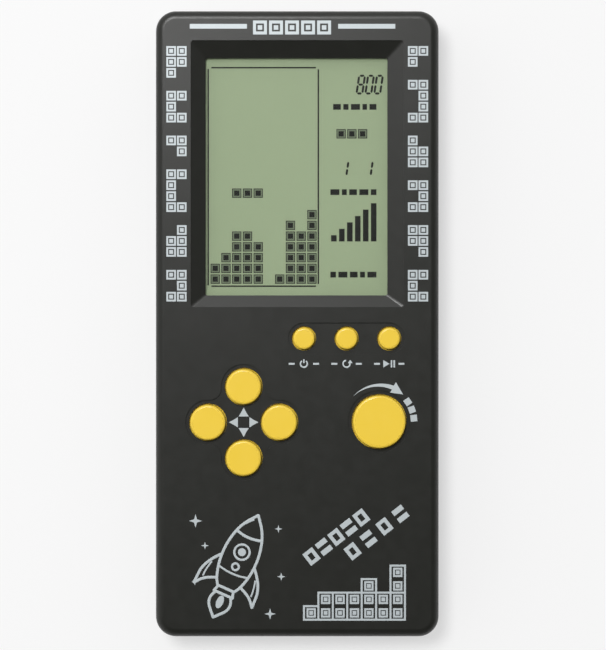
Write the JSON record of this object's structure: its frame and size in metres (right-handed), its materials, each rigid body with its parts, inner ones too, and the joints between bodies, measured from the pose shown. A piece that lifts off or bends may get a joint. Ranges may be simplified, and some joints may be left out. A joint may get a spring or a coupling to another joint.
{
  "type": "handheld lcd game",
  "caption": "Upright pocket game with a large reflective display, a direction pad, a big round button and small round keys, on two batteries.",
  "frame": {"origin": "middle of the rear face, with the game lying on its back", "axes": "+Z out of the screen, +Y towards the screen end, +X to the right as seen by the player"},
  "size_m": [0.0814, 0.18, 0.0243],
  "materials": {
    "case_black": "satin moulded ABS",
    "button_yellow": "satin moulded ABS",
    "lens_clear": "polished acrylic",
    "gasket_foam": "matt foam",
    "display_glass": "polished",
    "polariser_film": "satin film",
    "reflector_film": "satin film",
    "connector_rubber": "matt",
    "board_green": "solder resist",
    "resin_black": "glossy",
    "capacitor_sleeve": "shrink sleeve",
    "resistor_body": "lacquer",
    "mat_rubber": "matt silicone",
    "pill_carbon": "matt",
    "buzzer_brass": "rolled",
    "buzzer_ceramic": "silvered ceramic",
    "cell_can": "sleeved steel can",
    "contact_nickel": "nickel plated",
    "screw_zinc": "zinc plated",
    "wire_red": "insulation",
    "wire_black": "insulation"
  },
  "bodies": {
    "case": {"front_case": "case_black", "rear_case": "case_black", "screen_lens": "lens_clear", "lens_gasket": "gasket_foam", "lcd_polariser": "polariser_film", "lcd_front_glass": "display_glass", "lcd_rear_glass": "display_glass", "lcd_reflector": "reflector_film", "zebra_strip_upper": "connector_rubber", "zebra_strip_lower": "connector_rubber", "main_board": "board_green", "chip_blob": "resin_black", "capacitor": "capacitor_sleeve", "resistors": "resistor_body", "direction_rubber_mat": "mat_rubber", "function_rubber_mat": "mat_rubber", "rotate_rubber_mat": "mat_rubber", "buzzer_disc": "buzzer_brass", "buzzer_ceramic": "buzzer_ceramic", "upper_cell": "cell_can", "lower_cell": "cell_can", "negative_contact": "contact_nickel", "positive_contact": "contact_nickel", "bridge_contact": "contact_nickel", "negative_spring": "contact_nickel", "bridge_spring": "contact_nickel", "case_screws": "screw_zinc", "board_screws": "screw_zinc", "battery_wire_red": "wire_red", "battery_wire_black": "wire_black", "buzzer_wire_red": "wire_red", "buzzer_wire_black": "wire_black"},
    "up_key": {"up_button": "button_yellow", "up_pill": "pill_carbon"},
    "right_key": {"right_button": "button_yellow", "right_pill": "pill_carbon"},
    "down_key": {"down_button": "button_yellow", "down_pill": "pill_carbon"},
    "left_key": {"left_button": "button_yellow", "left_pill": "pill_carbon"},
    "power_key": {"power_button": "button_yellow", "power_pill": "pill_carbon"},
    "reset_key": {"reset_button": "button_yellow", "reset_pill": "pill_carbon"},
    "start_key": {"start_button": "button_yellow", "start_pill": "pill_carbon"},
    "rotate_key": {"rotate_button": "button_yellow", "rotate_pill": "pill_carbon"},
    "door": {"battery_door": "case_black"}
  },
  "joints": [
    {"name": "up_press", "type": "slide", "parent": "case", "child": "up_key", "axis": [0, 0, -1], "range_m": [0, 0.001], "stiffness_N_per_m": 1000, "deforming": ["direction_rubber_mat"]},
    {"name": "right_press", "type": "slide", "parent": "case", "child": "right_key", "axis": [0, 0, -1], "range_m": [0, 0.001], "stiffness_N_per_m": 1000, "deforming": ["direction_rubber_mat"]},
    {"name": "down_press", "type": "slide", "parent": "case", "child": "down_key", "axis": [0, 0, -1], "range_m": [0, 0.001], "stiffness_N_per_m": 1000, "deforming": ["direction_rubber_mat"]},
    {"name": "left_press", "type": "slide", "parent": "case", "child": "left_key", "axis": [0, 0, -1], "range_m": [0, 0.001], "stiffness_N_per_m": 1000, "deforming": ["direction_rubber_mat"]},
    {"name": "power_press", "type": "slide", "parent": "case", "child": "power_key", "axis": [0, 0, -1], "range_m": [0, 0.001], "stiffness_N_per_m": 1000, "deforming": ["function_rubber_mat"]},
    {"name": "reset_press", "type": "slide", "parent": "case", "child": "reset_key", "axis": [0, 0, -1], "range_m": [0, 0.001], "stiffness_N_per_m": 1000, "deforming": ["function_rubber_mat"]},
    {"name": "start_press", "type": "slide", "parent": "case", "child": "start_key", "axis": [0, 0, -1], "range_m": [0, 0.001], "stiffness_N_per_m": 1000, "deforming": ["function_rubber_mat"]},
    {"name": "rotate_press", "type": "slide", "parent": "case", "child": "rotate_key", "axis": [0, 0, -1], "range_m": [0, 0.001], "stiffness_N_per_m": 1000, "deforming": ["rotate_rubber_mat"]},
    {"name": "door_slide", "type": "slide", "parent": "case", "child": "door", "axis": [0, -1, 0], "range_m": [0, 0.046]}
  ]
}
